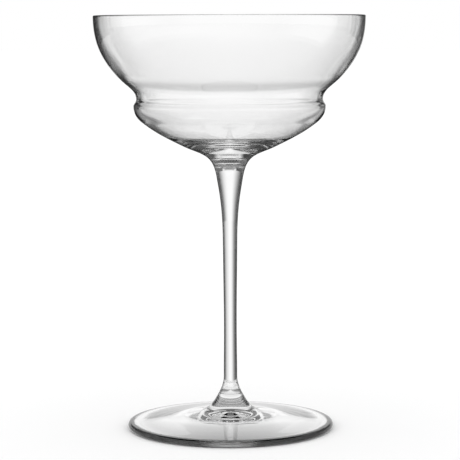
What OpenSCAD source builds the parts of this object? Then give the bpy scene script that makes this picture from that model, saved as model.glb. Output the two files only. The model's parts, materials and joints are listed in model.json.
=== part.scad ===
// A stemmed glass with a wide stepped bowl: a blown bowl, a drawn stem and a spun foot, fused end to end.
// The glass stands on its foot with the origin on the table, under its axis, and +Z up.

/* [Bowl, from the stem joint up to the rim] */
// Outer diameter at the rim
rim_d = 115; // [100:0.1:130]
// Outer diameter at the belly, the widest part of the lower bowl
belly_d = 81.4; // [74:0.1:90]
// Depth of the waist, the hollow between the two bowls, inside the belly on the radius
waist_in = 1.2; // [0.6:0.1:2]
// Reach of the ledge, where the upper bowl starts to open out, outside the waist on the radius
ledge_out = 4.75; // [3:0.05:6]
// Depth of the flank, halfway up the side of the lower bowl, inside the belly on the radius
flank_in = 3.7; // [2.5:0.1:5]
// Outer diameter at the sweep, where the neck's flare turns into the lower bowl
sweep_d = 38.6; // [30:0.1:46]
// Height from the stem joint up to the sweep
sweep_rise = 7.8; // [6:0.1:10]
// Height from the sweep up to the flank
flank_rise = 10.3; // [8:0.1:14]
// Height from the flank up to the belly
belly_rise = 6.9; // [5:0.1:9]
// Height from the belly up to the waist
waist_rise = 3; // [2.5:0.1:5]
// Height from the waist up to the ledge
ledge_rise = 6.6; // [4.5:0.1:8]
// Height from the ledge up to the lip of the rim
rim_rise = 28.15; // [24:0.05:38]
// Slope of the outer wall at the sweep, in degrees from level
sweep_slope = 26.4; // [22:0.1:32]
// Slope of the outer wall at the flank, in degrees from level
flank_slope = 38.2; // [34:0.1:44]
// Slope of the outer wall at the ledge, in degrees from level
ledge_slope = 40.3; // [36:0.1:46]
// Reach of the shoulder, where the upper bowl turns steeper, as a share of the way from ledge to rim
shoulder_out_share = 0.306; // [0.25:0.001:0.4]
// Height of the shoulder, as a share of the way up from the ledge to the lip
shoulder_rise_share = 0.141; // [0.1:0.001:0.19]
// Slope of the outer wall at the shoulder, in degrees from level
shoulder_slope = 48.2; // [45:0.1:52]

/* [Bowl walls] */
// Wall at the rim
rim_wall = 1.05; // [0.8:0.05:1.6]
// Wall at the shoulder
shoulder_wall = 1.75; // [1.3:0.05:2.2]
// Wall at the ledge
ledge_wall = 1.45; // [1.1:0.05:2]
// Slope of the inner wall at the ledge, in degrees from level, which makes a soft crease inside the bowl
crease_slope = 44.25; // [40:0.25:54]
// Wall at the waist
waist_wall = 1.5; // [1.2:0.05:2.6]
// Wall at the belly
belly_wall = 1.5; // [1.2:0.05:2.8]
// Wall at the flank
flank_wall = 1.7; // [1.4:0.05:3]
// Glass over the stem joint, at the dip round the middle of the bowl's floor
floor_depth = 9.5; // [8:0.1:12]
// Diameter of the dip round the middle of the bowl's floor
dip_d = 24; // [16:0.5:28]
// Height of the low dome inside the dip
dome_h = 0.6; // [0.2:0.1:2]

/* [Stem] */
// Length of the stem between its two joints
stem_l = 97.7; // [80:0.1:120]
// Diameter of the joint with the bowl
neck_d = 14.2; // [11:0.1:16]
// Diameter halfway up the neck's flare
cone_d = 10.2; // [8:0.1:11]
// Diameter at the throat, where the neck's flare starts
throat_d = 6.1; // [5.3:0.1:7]
// Diameter where the stem is slimmest
slim_d = 5.45; // [4.5:0.05:6]
// Diameter at the ankle, where the stem starts to open out to the foot
ankle_d = 5.7; // [5:0.1:6.5]
// Diameter of the joint with the foot
heel_d = 9.7; // [8:0.1:11]
// Height from the foot joint up to the ankle
ankle_rise = 7.2; // [5.5:0.1:9]
// Height from the ankle up to the slimmest place
slim_rise = 21.9; // [16:0.1:28]
// Drop from the bowl joint down to the cone
cone_drop = 8.3; // [6:0.1:11]
// Drop from the cone down to the throat
throat_drop = 27.3; // [20:0.1:32]
// Slope of the stem's side at the bowl joint, in degrees from level
neck_slope = 66; // [58:0.5:72]
// Slope of the stem's side at the cone, in degrees from level
cone_slope = 79.7; // [77:0.1:82]
// Slope of the stem's side at the throat, in degrees from level
throat_slope = 89.5; // [88.5:0.1:90]

/* [Foot] */
// Diameter of the foot
foot_d = 88; // [76:0.1:100]
// Height from the table up to the joint with the stem
foot_h = 15; // [13:0.1:18]
// Thickness of the foot's round edge
edge_t = 2.8; // [1.8:0.1:3.2]
// Diameter of the instep, where the foot's flare turns into its flat slope
instep_d = 26; // [22:0.5:34]
// Height of the instep over the table
instep_h = 7; // [6:0.1:8]
// Slope of the foot's top at the stem joint, in degrees from level
heel_slope = 62; // [54:0.5:68]
// Slope of the foot's top at the instep, in degrees from level
instep_slope = 11.5; // [9:0.5:16]
// Slope of the foot's top at its edge, in degrees from level
edge_slope = 6; // [4:0.5:9]
// Clearance between the round edge and the flat ring that the glass stands on
ring_gap = 0.3; // [0.1:0.05:1]
// Width of the flat ring
ring_w = 3; // [2:0.25:5]
// Slope of the hollow under the foot where it leaves the ring, in degrees from level
hollow_slope = 9; // [6:0.5:11]
// Diameter at which the hollow turns up into the dimple under the stem
dimple_d = 20; // [16:0.5:24]
// Height over the table at which the dimple starts
dimple_h = 4.2; // [3.4:0.1:4.8]
// Slope of the hollow where the dimple starts, in degrees from level
dimple_slope = 4; // [2:0.5:8]
// Height of the dimple's middle over the table
hollow_h = 6; // [5:0.1:7]

/* [Hidden] */
// Curve pieces between two stations of an outline, and round the half circle of the lip or the edge
span_steps = 14;
lip_steps = 10;
turn_steps = 128;
// Reach of a curve's handles, as a share of the straight distance between its stations
pull_share = 0.37;
upright = 90;
level = 0;

waist_d = belly_d - 2 * waist_in;
ledge_d = waist_d + 2 * ledge_out;
flank_d = belly_d - 2 * flank_in;
shoulder_d = ledge_d + shoulder_out_share * (rim_d - ledge_d);
heel_z = foot_h;
neck_z = heel_z + stem_l;
sweep_z = neck_z + sweep_rise;
flank_z = sweep_z + flank_rise;
belly_z = flank_z + belly_rise;
waist_z = belly_z + waist_rise;
ledge_z = waist_z + ledge_rise;
shoulder_z = ledge_z + shoulder_rise_share * rim_rise;
lip_z = ledge_z + rim_rise;
floor_z = neck_z + floor_depth;

// An outline runs through stations [radius, height, heading], the heading in degrees above outwards
function place(s) = [s[0], s[1]];
function heading(s) = [cos(s[2]), sin(s[2])];

// Points of a smooth curve from one station up to, but without, the next
function bend(a, b) =
    let (reach = pull_share * norm(place(b) - place(a)),
         leave = place(a) + reach * heading(a),
         arrive = place(b) - reach * heading(b))
    [for (i = [0 : span_steps - 1])
        let (t = i / span_steps, u = 1 - t)
        u * u * u * place(a) + 3 * u * u * t * leave + 3 * u * t * t * arrive + t * t * t * place(b)];

// Points of the curve through all the stations
function outline(stations) = [
    for (k = [0 : len(stations) - 2]) each bend(stations[k], stations[k + 1]),
    place(stations[len(stations) - 1])
];

// A station of the inner wall: the outer one moved square to its heading by the wall there
function inner(s, wall) = [s[0] - wall * sin(s[2]), s[1] + wall * cos(s[2]), s[2]];

// A station in the same place with another heading
function turned_to(s, slope) = [s[0], s[1], slope];

// The points of a list the other way round
function backwards(points) = [for (i = [len(points) - 1 : -1 : 0]) points[i]];

// Points inside a half circle about a centre, from one angle to another
function round_over(centre, radius, from, to) = [
    for (i = [1 : lip_steps - 1])
        let (a = from + (to - from) * i / lip_steps)
        centre + radius * [cos(a), sin(a)]
];

// Stations of the bowl's outer wall, and those of its inner wall from the middle of the floor
neck = [neck_d / 2, neck_z, neck_slope];
sweep = [sweep_d / 2, sweep_z, sweep_slope];
flank = [flank_d / 2, flank_z, flank_slope];
belly = [belly_d / 2, belly_z, upright];
waist = [waist_d / 2, waist_z, upright];
ledge = [ledge_d / 2, ledge_z, ledge_slope];
shoulder = [shoulder_d / 2, shoulder_z, shoulder_slope];
lip = [rim_d / 2, lip_z, upright];
dome = [0, floor_z + dome_h, level];
dip = [dip_d / 2, floor_z, level];
bowl_outside = [neck, sweep, flank, belly, waist, ledge, shoulder, lip];
bowl_inside = [
    dome, dip, inner(flank, flank_wall), inner(belly, belly_wall), inner(waist, waist_wall),
    turned_to(inner(ledge, ledge_wall), crease_slope), inner(shoulder, shoulder_wall), inner(lip, rim_wall)
];

// Stations of the stem's side, from the foot joint up to the bowl joint
heel = [heel_d / 2, heel_z, 180 - heel_slope];
ankle = [ankle_d / 2, heel_z + ankle_rise, upright];
slim = [slim_d / 2, heel_z + ankle_rise + slim_rise, upright];
cone = [cone_d / 2, neck_z - cone_drop, cone_slope];
throat = [throat_d / 2, neck_z - cone_drop - throat_drop, throat_slope];
stem_side = [heel, ankle, slim, throat, cone, neck];

// Stations of the foot's top, from the stem joint out to the edge, and of the hollow under it
edge_r = edge_t / 2;
heel_out = [heel_d / 2, heel_z, -heel_slope];
instep = [instep_d / 2, instep_h, -instep_slope];
edge_centre = [foot_d / 2 - edge_r, edge_r];
ring_d = foot_d - edge_t - 2 * ring_gap;
edge_top = [edge_centre[0] + edge_r * sin(edge_slope), edge_r + edge_r * cos(edge_slope), -edge_slope];
hollow_side = [ring_d / 2 - ring_w, 0, 180 - hollow_slope];
dimple = [dimple_d / 2, dimple_h, 180 - dimple_slope];
dimple_top = [0, hollow_h, 180];
foot_top = [heel_out, instep, edge_top];
foot_hollow = [hollow_side, dimple, dimple_top];

// A closed outline turned about the axis
module turned(points) {
    rotate_extrude($fn = turn_steps) polygon(points);
}

// The blown bowl: solid over the stem joint, thinning up to a fire-rounded lip
module bowl() {
    lip_centre = [rim_d / 2 - rim_wall / 2, lip_z];
    color("aliceblue", 0.5) turned(concat(
        [[0, neck_z]],
        outline(bowl_outside),
        round_over(lip_centre, rim_wall / 2, level, 180),
        backwards(outline(bowl_inside))
    ));
}

// The drawn stem: solid, flared at both ends to meet the bowl and the foot
module stem() {
    color("lightcyan", 0.5) turned(concat([[0, heel_z]], outline(stem_side), [[0, neck_z]]));
}

// The spun foot: a low trumpet with a round edge, standing on a flat ring round a hollow with a dimple
module foot() {
    color("azure", 0.5) turned(concat(
        [[0, heel_z]],
        outline(foot_top),
        round_over(edge_centre, edge_r, upright - edge_slope, -upright),
        [[ring_d / 2, 0]],
        outline(foot_hollow)
    ));
}

bowl();
stem();
foot();
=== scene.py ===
# %% [markdown]
# # A stemmed glass with a stepped bowl
# The glass is three pieces of clear soda-lime glass, a blown bowl, a drawn stem and a spun foot, fused hot
# end to end. The imported model already holds their true outlines. This lesson turns those outlines again
# with finer steps, gives each piece its own glass, and lights them the way glassware is photographed:
# against white, with dark cards beside it that draw its edges, deepened by painted shade on the glass's rim.

# %% The frame
import json
import math

import bpy
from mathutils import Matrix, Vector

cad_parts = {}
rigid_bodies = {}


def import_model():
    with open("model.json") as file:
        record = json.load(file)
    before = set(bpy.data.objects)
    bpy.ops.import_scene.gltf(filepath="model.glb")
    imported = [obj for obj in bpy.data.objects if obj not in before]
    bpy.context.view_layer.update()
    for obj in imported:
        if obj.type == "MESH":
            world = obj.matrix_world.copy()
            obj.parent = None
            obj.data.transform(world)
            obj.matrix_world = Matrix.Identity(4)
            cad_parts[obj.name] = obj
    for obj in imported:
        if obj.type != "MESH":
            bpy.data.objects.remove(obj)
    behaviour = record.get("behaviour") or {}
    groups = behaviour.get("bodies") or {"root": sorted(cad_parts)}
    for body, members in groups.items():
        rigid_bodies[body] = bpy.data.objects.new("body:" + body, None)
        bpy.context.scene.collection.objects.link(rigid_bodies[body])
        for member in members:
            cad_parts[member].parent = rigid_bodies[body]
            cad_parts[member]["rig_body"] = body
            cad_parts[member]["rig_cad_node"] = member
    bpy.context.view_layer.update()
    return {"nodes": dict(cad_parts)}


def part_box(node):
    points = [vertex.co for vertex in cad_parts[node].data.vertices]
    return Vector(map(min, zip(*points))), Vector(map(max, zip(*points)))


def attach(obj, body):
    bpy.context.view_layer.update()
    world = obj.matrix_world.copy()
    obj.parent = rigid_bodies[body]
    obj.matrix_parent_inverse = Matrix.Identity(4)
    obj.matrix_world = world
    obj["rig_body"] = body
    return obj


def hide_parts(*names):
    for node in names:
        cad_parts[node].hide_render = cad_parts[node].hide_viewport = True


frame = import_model()
MM = 0.001
scene = bpy.context.scene


# %% [markdown]
# ## Turning a piece
# Every piece of this glass is a body of revolution, shaped on a turning pipe or in a turning mould. A
# modeller would draw half the outline and spin it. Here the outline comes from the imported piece: in a copy
# of its mesh, each point is folded round the axis onto one half plane, and once the doubles are merged only
# the outline is left. Spinning it again gives an even, closed surface that can't drift away from the real
# sizes. The open middle of a flat end is closed with one round face. Glass shows every facet in its
# refraction, so the sharp edges are creased and one level of subdivision rounds all the rest.

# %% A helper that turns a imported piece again
TURN_STEPS = 96
SAME_POINT = 0.002 * MM
SMOOTH_UP_TO = math.radians(30)


def turned_again(node, name):
    bpy.ops.object.select_all(action="DESELECT")
    packed = frame["nodes"][node]
    piece = packed.copy()
    piece.data = packed.data.copy()
    piece.name = piece.data.name = name
    piece.parent = None
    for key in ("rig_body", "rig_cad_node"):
        del piece[key]
    scene.collection.objects.link(piece)
    for point in piece.data.vertices:
        point.co = (math.hypot(point.co.x, point.co.y), 0, point.co.z)
    bpy.context.view_layer.objects.active = piece
    piece.select_set(True)
    bpy.ops.object.mode_set(mode="EDIT")
    bpy.ops.mesh.select_all(action="SELECT")
    bpy.ops.mesh.remove_doubles(threshold=SAME_POINT)
    bpy.ops.mesh.delete(type="ONLY_FACE")
    bpy.ops.mesh.select_all(action="SELECT")
    bpy.ops.mesh.spin(steps=TURN_STEPS, angle=2 * math.pi, center=(0, 0, 0), axis=(0, 0, 1))
    bpy.ops.mesh.select_all(action="SELECT")
    bpy.ops.mesh.remove_doubles(threshold=SAME_POINT)
    bpy.ops.mesh.select_all(action="DESELECT")
    bpy.ops.mesh.select_non_manifold()
    bpy.ops.mesh.edge_face_add()
    bpy.ops.mesh.select_all(action="SELECT")
    bpy.ops.mesh.normals_make_consistent(inside=False)
    bpy.ops.mesh.select_all(action="DESELECT")
    bpy.ops.mesh.edges_select_sharp(sharpness=SMOOTH_UP_TO)
    bpy.ops.transform.edge_crease(value=1)
    bpy.ops.object.mode_set(mode="OBJECT")
    rounding = piece.modifiers.new("rounding", "SUBSURF")
    rounding.levels = 1
    bpy.ops.object.modifier_apply(modifier=rounding.name)
    bpy.ops.object.shade_smooth_by_angle(angle=SMOOTH_UP_TO)
    piece.data.materials.clear()
    print(name, "faces:", len(piece.data.polygons))
    return piece


# %% [markdown]
# ## The three pieces
# The bowl is wide above and steps in at a waist to a smaller, rounded belly. The stem is a solid rod, thin
# in the middle and flared at both ends. The foot is a low trumpet, hollow underneath, that stands on a flat
# ring. They could be modelled as one, but stay apart as they were made, each with a glass of its own.

# %% Bowl, stem and foot
bowl = turned_again("bowl", "glass_bowl")
stem = turned_again("stem", "glass_stem")
foot = turned_again("foot", "glass_foot")

# %% [markdown]
# ## A helper for shader nodes
# Every material below is a small tree of nodes. One function adds a node, sets it up and links it, so that
# each material reads as a list of what it is made of. Colours are written as sRGB hex values, as a colour
# picker shows them, and turned to the linear values that the renderer works in.

# %% Colours and nodes
WHITE = "#ffffff"


def linear(hex_colour):
    shares = [int(hex_colour[i:i + 2], 16) / 255 for i in (1, 3, 5)]
    return [c / 12.92 if c <= 0.04045 else ((c + 0.055) / 1.055) ** 2.4 for c in shares] + [1]


def add_node(tree, kind, inputs=(), stops=(), **settings):
    node = tree.nodes.new(kind)
    for key, value in settings.items():
        setattr(node, key, value)
    for key, value in dict(inputs).items():
        if isinstance(value, bpy.types.NodeSocket):
            tree.links.new(value, node.inputs[key])
        else:
            node.inputs[key].default_value = value
    for i, (place, colour) in enumerate(stops):
        spots = node.color_ramp.elements
        spot = spots[i] if i < 2 else spots.new(place)
        spot.position = place
        spot.color = colour
    return node


def new_material(name):
    material = bpy.data.materials.new(name)
    material.use_nodes = True
    material.node_tree.nodes.clear()
    return material, material.node_tree


print("white in linear values:", linear(WHITE))

# %% [markdown]
# ## Clear soda-lime glass
# The glass is colourless and fire-polished: light goes straight through its faces and bends at them, by the
# index 1.52 of soda-lime glass. Its outline is drawn with painted shade: Layer Weight knows the angle at
# which the wall is met, and a ramp from it darkens the glass colour in the last few glancing degrees, on the
# light that passes and on the light that is mirrored. The thin wall of the bowl gets only a narrow painted
# dark rim.
# The solid stem's painted shade starts sooner, and the foot's later, since its top is seen at a flat angle
# all over. The round edge of the foot gets a ramp that paints shade on it at every angle.

# %% The glass that all pieces share
SODA_GLASS_IOR = 1.52
# These ramps are painted shade: they darken the glass colour towards its silhouette.
PAINTED_RIM_SHADE_BOWL = [(0, WHITE), (0.72, WHITE), (0.77, "#e7e7e7"), (0.8, "#b3b3b3"), (0.82, "#7c7c7c"),
                 (0.86, "#3f3f3f"), (1, "#272727")]
PAINTED_RIM_SHADE_STEM = [(0, WHITE), (0.34, WHITE), (0.45, "#bcbcbc"), (0.55, "#7c7c7c"), (0.7, "#3f3f3f"),
                 (1, "#272727")]
PAINTED_RIM_SHADE_FOOT = [(0, WHITE), (0.88, WHITE), (0.93, "#b3b3b3"), (0.97, "#595959"), (1, "#3f3f3f")]
# Painted shade over the foot's round edge, dim at every angle.
PAINTED_EDGE_SHADE_FOOT = [(0, "#6b6b6b"), (0.5, "#626262"), (0.85, "#505050"), (1, "#404040")]


def glass_with_painted_rim(name, painted_rim_stops):
    material, tree = new_material(name)
    angle = add_node(tree, "ShaderNodeLayerWeight", {"Blend": 0.5})
    # Painted rim shade: Layer Weight's facing darkens the colour of the light that passes and that is
    # mirrored.
    outline = add_node(tree, "ShaderNodeValToRGB", {"Fac": angle.outputs["Facing"]},
                       [(place, linear(colour)) for place, colour in painted_rim_stops])
    shader = add_node(tree, "ShaderNodeBsdfPrincipled", {
        "Base Color": outline.outputs["Color"], "Specular Tint": outline.outputs["Color"],
        "IOR": SODA_GLASS_IOR, "Transmission Weight": 1.0, "Roughness": 0.0})
    add_node(tree, "ShaderNodeOutputMaterial", {"Surface": shader.outputs["BSDF"]})
    print("glass:", name)
    return material, tree, shader


# %% [markdown]
# ## Unevenness
# Real glass is never quite even. Each glass below has patterns of its own for that, used in two ways: as a
# bump so low that it only makes the background swim a little, and as a trace of roughness, the faint bloom
# that washing leaves here and there.

# %% A helper that makes a glass uneven
BLOOM_FULL = 0.8
BLOOM_ROUGHNESS = 0.012


def uneven(tree, shader, bloom, bloom_from, relief, relief_mm):
    dull = add_node(tree, "ShaderNodeMapRange", {
        "Value": bloom, "From Min": bloom_from, "From Max": BLOOM_FULL,
        "To Min": 0.0, "To Max": BLOOM_ROUGHNESS})
    bump = add_node(tree, "ShaderNodeBump", {
        "Height": relief, "Strength": 1.0, "Distance": relief_mm * MM})
    tree.links.new(dull.outputs["Result"], shader.inputs["Roughness"])
    tree.links.new(bump.outputs["Normal"], shader.inputs["Normal"])
    print("relief:", relief_mm, "mm")


# %% [markdown]
# ## Blown glass for the bowl
# A blown wall has broad soft waves, about 24 mm across, left by the breath and the turning. Its bloom comes
# in spots of some 9 mm. Two noise textures of those sizes give both.

# %% Blown glass
WAVE_MM = 24
WAVE_RELIEF_MM = 0.08
BLOOM_MM = 9
BLOOM_FROM = 0.45
blown_glass, tree, shader = glass_with_painted_rim("blown_soda_glass", PAINTED_RIM_SHADE_BOWL)
where = add_node(tree, "ShaderNodeTexCoord")
waves = add_node(tree, "ShaderNodeTexNoise", {
    "Vector": where.outputs["Object"], "Scale": 1 / (WAVE_MM * MM), "Detail": 1.0})
spots = add_node(tree, "ShaderNodeTexNoise", {
    "Vector": where.outputs["Object"], "Scale": 1 / (BLOOM_MM * MM), "Detail": 3.0})
uneven(tree, shader, spots.outputs["Fac"], BLOOM_FROM, waves.outputs["Fac"], WAVE_RELIEF_MM)

# %% [markdown]
# ## Drawn glass for the stem
# The stem was pulled out of the hot bowl, which draws every unevenness out into long faint streaks along
# it. The same noise does this once a Mapping node stretches it along Z: about 2 mm wide and 60 mm long.

# %% Drawn glass
STREAK_MM = (2, 2, 60)
STREAK_RELIEF_MM = 0.01
STREAK_BLOOM_FROM = 0.4
drawn_glass, tree, shader = glass_with_painted_rim("drawn_soda_glass", PAINTED_RIM_SHADE_STEM)
where = add_node(tree, "ShaderNodeTexCoord")
along = add_node(tree, "ShaderNodeMapping", {
    "Vector": where.outputs["Object"], "Scale": [1 / (size * MM) for size in STREAK_MM]})
streaks = add_node(tree, "ShaderNodeTexNoise", {
    "Vector": along.outputs["Vector"], "Scale": 1.0, "Detail": 1.0})
uneven(tree, shader, streaks.outputs["Fac"], STREAK_BLOOM_FROM, streaks.outputs["Fac"], STREAK_RELIEF_MM)

# %% [markdown]
# ## Spun glass for the foot
# The foot was spun flat, so its unevenness runs in rings about the axis, some 7 mm apart and a little wavy.
# A Wave texture set to rings about Z draws them, and its distortion keeps them from looking machined. The
# glass is made twice, once for the foot and once with the dim ramp that paints shade over its round edge.

# %% Spun glass
RING_MM = 7
RING_RELIEF_MM = 0.006
# A Wave texture of scale 1 draws this many rings in one unit of length.
WAVES_PER_UNIT = 10 / math.pi
spun = []
for name, painted_rim_stops in (("spun_soda_glass", PAINTED_RIM_SHADE_FOOT), ("spun_glass_painted_edge_shade", PAINTED_EDGE_SHADE_FOOT)):
    glass, tree, shader = glass_with_painted_rim(name, painted_rim_stops)
    where = add_node(tree, "ShaderNodeTexCoord")
    rings = add_node(tree, "ShaderNodeTexWave", {
        "Vector": where.outputs["Object"], "Scale": 1 / (WAVES_PER_UNIT * RING_MM * MM),
        "Distortion": 1.5, "Detail": 1.0}, wave_type="RINGS", rings_direction="Z")
    spots = add_node(tree, "ShaderNodeTexNoise", {
        "Vector": where.outputs["Object"], "Scale": 1 / (BLOOM_MM * MM), "Detail": 3.0})
    uneven(tree, shader, spots.outputs["Fac"], BLOOM_FROM, rings.outputs["Fac"], RING_RELIEF_MM)
    spun.append(glass)
spun_glass, spun_glass_painted_edge_shade = spun

# %% [markdown]
# ## The two fused joints
# Where two pieces were fused there is no face left in the real glass: light runs from one into the other.
# The pieces stay separate here, so their touching end faces get a material that is fully see-through, and
# only the outside of the glass refracts.

# %% Fused joints
fused_joint, tree = new_material("fused_joint")
shader = add_node(tree, "ShaderNodeBsdfPrincipled", {"Base Color": linear(WHITE), "Alpha": 0.0})
add_node(tree, "ShaderNodeOutputMaterial", {"Surface": shader.outputs["BSDF"]})
NEARLY_LEVEL = 0.99
joint_heights = [corner.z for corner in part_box("stem")]


def cover(piece, material, faces):
    piece.data.materials.append(material)
    for face in faces:
        face.material_index = len(piece.data.materials) - 1
    print(piece.name, "has", len(faces), "faces of", material.name)


def at_joint(face):
    off = min(abs(face.center.z - height) for height in joint_heights)
    return off < SAME_POINT and abs(face.normal.z) > NEARLY_LEVEL


for piece, glass in ((bowl, blown_glass), (stem, drawn_glass), (foot, spun_glass)):
    cover(piece, glass, piece.data.polygons)
    cover(piece, fused_joint, [face for face in piece.data.polygons if at_joint(face)])

# %% [markdown]
# ## Painted shade on the edge and the flare of the foot
# Two parts of the foot get painted shade of their own. Its round edge, the outer 2 mm, takes the dim glass,
# which paints it as a dark line. Its middle was drawn up into a flare to meet the stem, and from 10 mm up it
# takes the stem's glass, whose painted dark rim starts sooner. Cutting the piece there would add edges that
# the real glass doesn't have, so the faces are picked by their place and take another glass.

# %% Edge and flare
EDGE_ZONE_MM = 2.1
FLARE_FROM_MM = 10
edge_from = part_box("foot")[1].x - EDGE_ZONE_MM * MM
# Painted shade: the edge takes the dim glass, the flare the stem's earlier dark rim.
cover(foot, spun_glass_painted_edge_shade,
      [face for face in foot.data.polygons if math.hypot(face.center.x, face.center.y) > edge_from])
cover(foot, drawn_glass,
      [face for face in foot.data.polygons
       if face.center.z > FLARE_FROM_MM * MM and face.material_index == 0])

# %% [markdown]
# ## The pieces take their places
# Each turned piece stands for the imported piece that it was made from. A stemmed glass has nothing that
# moves, so all three ride on its one body.

# %% Places
places = ((bowl, "bowl", "blown_glass"), (stem, "stem", "drawn_glass"), (foot, "foot", "spun_glass"))
for piece, node, slot in places:
    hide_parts(node)
    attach(piece, "root")
    print(piece.name, "stands for", node)

# %% [markdown]
# ## The camera
# The glass was photographed from 83 cm away through a long lens, from just under the height of its rim. The
# lens length follows from the picture's size in pixels and the focal length in pixels that fits the
# ellipses of the rim and the foot. A slight roll follows the lean of the photographed glass.

# %% Camera
PICTURE_SIDE = 460
FOCAL_PIXELS = 1964
FILM_MM = 36
CAMERA_BACK_MM = 832
CAMERA_UP_MM = 172
LOOK_DOWN = 5.976
ROLL = -0.2
bpy.ops.object.camera_add(location=(0, -CAMERA_BACK_MM * MM, CAMERA_UP_MM * MM),
                          rotation=(math.radians(90 - LOOK_DOWN), 0, 0))
camera = bpy.context.object
camera.rotation_euler.rotate_axis("Z", math.radians(ROLL))
camera.data.sensor_width = FILM_MM
camera.data.lens = FILM_MM * FOCAL_PIXELS / PICTURE_SIDE
scene.camera = camera
print("lens", round(camera.data.lens, 1), "mm")

# %% [markdown]
# ## White paper
# The glass stands on a sheet of white paper that runs off in all directions and gives back 95 % of the
# light. The paper is there for the camera and for the soft shadow. In the glass the cards on the table,
# further down, take its place, because the far edge of a sheet would draw a line there.

# %% Paper
PAPER_REACH = 12
PAPER_Z = -0.2 * MM
bpy.ops.object.select_all(action="DESELECT")
bpy.ops.mesh.primitive_circle_add(vertices=64, radius=PAPER_REACH, fill_type="NGON",
                                  location=(0, 0, PAPER_Z))
paper = bpy.context.object
paper.name = "paper"
white_paper, tree = new_material("white_paper")
shader = add_node(tree, "ShaderNodeBsdfDiffuse", {"Color": linear("#f9f9f9")})
add_node(tree, "ShaderNodeOutputMaterial", {"Surface": shader.outputs["BSDF"]})
paper.data.materials.append(white_paper)
paper.visible_transmission = paper.visible_glossy = False
print("paper:", PAPER_REACH, "m all round")

# %% [markdown]
# ## White sky
# An even white sky lights the glass from all sides and leaves only a soft shadow. Light Path lets it be
# exactly white where the camera sees it, straight, mirrored or through the glass, and a touch brighter where
# it lights the paper, so that the paper comes out white too.

# %% Sky
SKY_LIGHT = 1.12
world = bpy.data.worlds.new("white_sky")
scene.world = world
world.use_nodes = True
tree = world.node_tree
tree.nodes.clear()
lighting = add_node(tree, "ShaderNodeBackground", {"Color": linear(WHITE), "Strength": SKY_LIGHT})
seen = add_node(tree, "ShaderNodeBackground", {"Color": linear(WHITE), "Strength": 1.0})
ray = add_node(tree, "ShaderNodeLightPath")
bare_or_mirrored = add_node(tree, "ShaderNodeMath", {
    0: ray.outputs["Is Camera Ray"], 1: ray.outputs["Is Glossy Ray"]}, operation="MAXIMUM")
any_view = add_node(tree, "ShaderNodeMath", {
    0: bare_or_mirrored.outputs[0], 1: ray.outputs["Is Transmission Ray"]}, operation="MAXIMUM")
sky = add_node(tree, "ShaderNodeMixShader", {
    0: any_view.outputs[0], 1: lighting.outputs[0], 2: seen.outputs[0]})
add_node(tree, "ShaderNodeOutputWorld", {"Surface": sky.outputs[0]})
print("sky: strength", SKY_LIGHT, "on the paper")

# %% [markdown]
# ## A stand for the cards
# Glass shows only what it bends or mirrors, so a photographer draws it with cards: white straight behind
# it, dark ones beside it for the edges, and pale ones in front for the soft lights on the bowl. On a
# turntable the cards stay with the camera while the glass turns. Here the camera goes round instead, so the
# cards hang on one stand that turns to face it. They don't light the paper, throw no shadow, and aren't
# seen directly, only through or in the glass.

# %% The stand
bpy.ops.object.empty_add(location=(0, 0, 0))
stand = bpy.context.object
stand.name = "card_stand"
facing = stand.constraints.new("LOCKED_TRACK")
facing.target = camera
facing.track_axis = "TRACK_NEGATIVE_Y"
facing.lock_axis = "LOCK_Z"
print("stand: turns to face", facing.target.name)

# %% [markdown]
# ## A helper that bends a card round the glass
# Each card is a grid bent round the stand: from one angle to another, counted from straight behind the
# glass and clockwise from above, and between two edges, each given as its distance from the axis and its
# height. A flat ring on the table, a disc and an upright screen are all made this way. Its tone is a list
# of places and shares of white, running round the stand, up it, or away from the camera. Some cards show
# only through the glass and some only mirrored in it, so that each can be set without spoiling the other.

# %% Cards
CARD_STEPS = 120


def bent_card(name, angles, low, high, run, tones, shows="both"):
    bpy.ops.object.select_all(action="DESELECT")
    bpy.ops.mesh.primitive_grid_add(x_subdivisions=CARD_STEPS, y_subdivisions=1, size=1)
    card = bpy.context.object
    card.name = card.data.name = name
    for point in card.data.vertices:
        angle = math.radians(angles[0] + (angles[1] - angles[0]) * (point.co.x + 0.5))
        distance, height = (a + (b - a) * (point.co.y + 0.5) for a, b in zip(low, high))
        point.co = (distance * math.sin(angle), distance * math.cos(angle), height)
    material, tree = new_material(name)
    where = add_node(tree, "ShaderNodeTexCoord")
    if run == "round":
        turned = add_node(tree, "ShaderNodeMapping", {
            "Vector": where.outputs["Object"], "Rotation": (0, 0, -math.pi / 2)})
        way = add_node(tree, "ShaderNodeTexGradient", {"Vector": turned.outputs["Vector"]},
                       gradient_type="RADIAL")
        stops = sorted((0.5 - angle / 360, tone) for angle, tone in tones)
    else:
        first, last = tones[0][0], tones[-1][0]
        parts = add_node(tree, "ShaderNodeSeparateXYZ", {"Vector": where.outputs["Object"]})
        way = add_node(tree, "ShaderNodeMapRange", {
            "Value": parts.outputs["Z" if run == "up" else "Y"], "From Min": first, "From Max": last})
        stops = [((place - first) / (last - first), tone) for place, tone in tones]
    ramp = add_node(tree, "ShaderNodeValToRGB", {"Fac": way.outputs[0]},
                    [(place, (tone, tone, tone, 1)) for place, tone in stops])
    glow = add_node(tree, "ShaderNodeEmission", {"Color": ramp.outputs["Color"]})
    add_node(tree, "ShaderNodeOutputMaterial", {"Surface": glow.outputs["Emission"]})
    card.data.materials.append(material)
    card.visible_camera = card.visible_diffuse = card.visible_shadow = False
    card.visible_glossy = shows != "through"
    card.visible_transmission = shows != "mirrored"
    card.parent = stand
    print("card:", name, "shows", shows)


# %% [markdown]
# ## The cards beside the glass
# Straight behind is white. The two side cards start some 14 degrees from there and fall off to dark within
# a few degrees, which rims the bowl together with the painted shade of its glass. They start at the height
# of the neck, because lower down the stem would show them as two flat bands.

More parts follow.
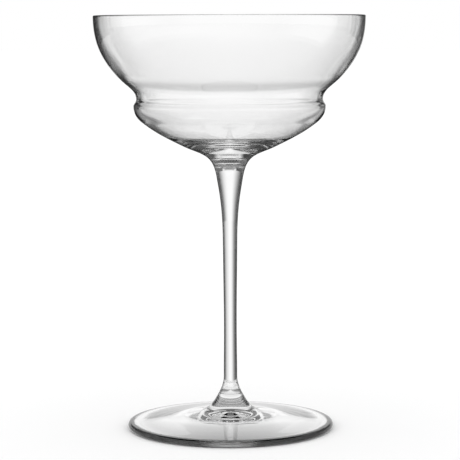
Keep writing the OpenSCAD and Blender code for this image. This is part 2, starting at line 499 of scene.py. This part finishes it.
# %% Side cards
ALL_ROUND = (0, 360)
FRONT_FROM = 63
SIDE_R, SIDE_FROM_Z, SIDE_TO_Z = 0.45, 0.095, 0.8
bent_card("left_card", (-FRONT_FROM, -13), (SIDE_R, SIDE_FROM_Z), (SIDE_R, SIDE_TO_Z), "round",
          [(-FRONT_FROM, 0.1), (-34, 0.06), (-20.5, 0.05), (-14, 1)])
bent_card("right_card", (15, FRONT_FROM), (SIDE_R, SIDE_FROM_Z), (SIDE_R, SIDE_TO_Z), "round",
          [(15.5, 1), (24, 0.12), (50, 0.12), (FRONT_FROM, 0.2)])

# %% [markdown]
# ## The cards for the stem
# The stem is a strong lens: it shows all that stands behind it, side to side and the wrong way round. A low
# card, under the side cards and just inside them, gives it a gentle fall from light to dark, darker on one
# side. The neck is thicker and gathers an even wider view, so it has a small card of its own, bent round
# behind it 20 mm from the axis. Both show only through the glass.

# %% Stem cards
LOW_R, LOW_FROM_Z = 0.44, 0.8 * MM
NECK_R, NECK_FROM_Z, NECK_TO_Z = 20 * MM, 88 * MM, 116 * MM
BESIDE_STEM = [(-180, 0.4), (-110, 0.05), (-40, 0.03), (-30, 0.12), (-20, 0.36), (-12, 0.75), (-5, 1),
               (5, 1), (12, 0.85), (20, 0.72), (30, 0.45), (40, 0.12), (48, 0.03), (110, 0.05), (180, 0.4)]
bent_card("low_card", (-FRONT_FROM, FRONT_FROM), (LOW_R, LOW_FROM_Z), (LOW_R, SIDE_FROM_Z), "round",
          BESIDE_STEM, shows="through")
bent_card("neck_card", (-100, 100), (NECK_R, NECK_FROM_Z), (NECK_R, NECK_TO_Z), "round",
          [(-60, 0.02), (-40, 0.02), (-31, 0.04), (-25, 0.1), (-18, 0.32), (-12, 0.62), (-7, 0.92), (-4, 1),
           (4, 1), (7, 0.95), (12, 0.78), (18, 0.48), (25, 0.16), (31, 0.05), (40, 0.02), (60, 0.02)],
          shows="through")

# %% [markdown]
# ## The cards high up and far back
# Above the rim the white behind the glass fades, as in a studio where the lit backdrop ends. A dimmer
# strip far back is bent into sight only by the crease of the step, where it draws the soft line in the bowl.

# %% High card and strip
HIGH_R, HIGH_FROM_Z, HIGH_TO_Z = 0.47, 0.19, 1.0
STRIP_R, STRIP_FROM_Z, STRIP_TO_Z = 1.6, 0.18, 0.56
bent_card("high_card", (-FRONT_FROM, FRONT_FROM), (HIGH_R, HIGH_FROM_Z), (HIGH_R, HIGH_TO_Z), "up",
          [(HIGH_FROM_Z, 1), (0.22, 0.7), (0.3, 0.35), (0.42, 0.15), (HIGH_TO_Z, 0.1)])
bent_card("far_strip", (-50, 50), (STRIP_R, STRIP_FROM_Z), (STRIP_R, STRIP_TO_Z), "up",
          [(STRIP_FROM_Z, 1), (0.21, 0.92), (0.235, 0.8), (0.265, 0.68), (0.32, 0.6), (0.46, 0.75),
           (STRIP_TO_Z, 1)], shows="through")

# %% [markdown]
# ## The table as the glass shows it
# Through the stem and the bowl one sees the table all round, so it is white straight behind and dark at the
# sides, like the low card above it. In the mirror of the glass it is dark behind, for crisp edges, and white
# elsewhere. The foot would mirror that dark part as a patch, so a low bright fence just outside the foot
# hides it from there.

# %% Table cards
TABLE_FROM, TABLE_MIRROR_FROM, TABLE_TO, TABLE_Z = 46 * MM, 52 * MM, 12, 0.6 * MM
FENCE_R, FENCE_TO_Z = 50 * MM, 6 * MM
bent_card("table_through", ALL_ROUND, (TABLE_FROM, TABLE_Z), (TABLE_TO, TABLE_Z), "round",
          BESIDE_STEM, shows="through")
bent_card("table_mirrored", ALL_ROUND, (TABLE_MIRROR_FROM, TABLE_Z), (TABLE_TO, TABLE_Z), "round",
          [(-180, 1), (-45, 1), (-30, 0.05), (30, 0.05), (45, 0.9), (90, 0.9), (120, 1), (180, 1)],
          shows="mirrored")
bent_card("low_fence", (-100, 100), (FENCE_R, 0), (FENCE_R, FENCE_TO_Z), "up",
          [(0, 0.1), (0.5 * MM, 0.2), (1.2 * MM, 1), (FENCE_TO_Z, 1)], shows="mirrored")

# %% [markdown]
# ## The shade under the foot
# Under the foot the table's shade is painted on glowing cards: darker towards the camera and beside the
# small hollow in the middle, with a dark ring of painted shadow that draws the foot's lower edge. They are
# flat cards, laid between the foot and the paper.

# %% Foot cards
UNDER_Z, OVER_UNDER_Z = -0.1 * MM, -0.05 * MM
HOLLOW_R = 12 * MM
SHADE_FROM, SHADE_TO = 41 * MM, 60 * MM
# Painted shade: these cards glow darker where the table under the foot would be shaded.
bent_card("painted_shade_under_foot", ALL_ROUND, (0, UNDER_Z), (TABLE_FROM, UNDER_Z), "away",
          [(-0.05, 0.05), (-0.041, 0.08), (-0.039, 0.35), (-0.02, 0.62), (0.01, 0.95), (0.05, 1)])
bent_card("painted_shade_by_hollow", (-80, 80), (0, OVER_UNDER_Z), (HOLLOW_R, OVER_UNDER_Z), "round",
          [(-100, 0.25), (-60, 0.25), (-25, 0.85), (25, 0.85), (60, 0.25), (100, 0.25)])
bent_card("edge_shade", (45, 315), (SHADE_FROM, OVER_UNDER_Z), (SHADE_TO, OVER_UNDER_Z), "round",
          [(-180, 0.05), (-85, 0.05), (-48, 1), (48, 1), (85, 0.05), (180, 0.05)], shows="through")

# %% [markdown]
# ## The room in front
# The bowl mirrors the room on the camera's side: a bright window on the left and a broader one on the
# right, grey between. Over it all hangs a dim ceiling, so the glass has no bright patches on its upward
# faces.

# %% Room cards
ROOM_R, ROOM_TO_Z = 1, 1.2
CEILING_R, CEILING_Z = 1.4, 0.8
bent_card("room", (FRONT_FROM, 360 - FRONT_FROM), (ROOM_R, 0), (ROOM_R, ROOM_TO_Z), "round",
          [(-180, 0.85), (-166, 0.8), (-150, 0.7), (-134, 0.5), (-126, 0.6), (-117, 0.75), (-108, 0.9),
           (-98, 1), (-76, 1), (-FRONT_FROM, 0.5), (FRONT_FROM, 0.5), (74, 0.6), (85, 0.7), (106, 0.8),
           (124, 0.9), (140, 1), (160, 0.95), (180, 0.85)])
bent_card("ceiling", ALL_ROUND, (0, CEILING_Z), (CEILING_R, CEILING_Z), "away",
          [(-CEILING_R, 0.9), (-1, 0.85), (-0.7, 0.6), (-0.4, 0.3), (-0.1, 0.1), (CEILING_R, 0.1)])

# %% [markdown]
# ## Finishing
# Light that goes through both walls of the bowl crosses four faces, and more in the thick floor of it, so
# the paths are allowed to be long.

# %% Light paths
LONG_PATH, MIRROR_PATH = 32, 16
scene.view_settings.view_transform = "Standard"
scene.cycles.max_bounces = LONG_PATH
scene.cycles.transmission_bounces = LONG_PATH
scene.cycles.glossy_bounces = MIRROR_PATH
scene.cycles.transparent_max_bounces = LONG_PATH
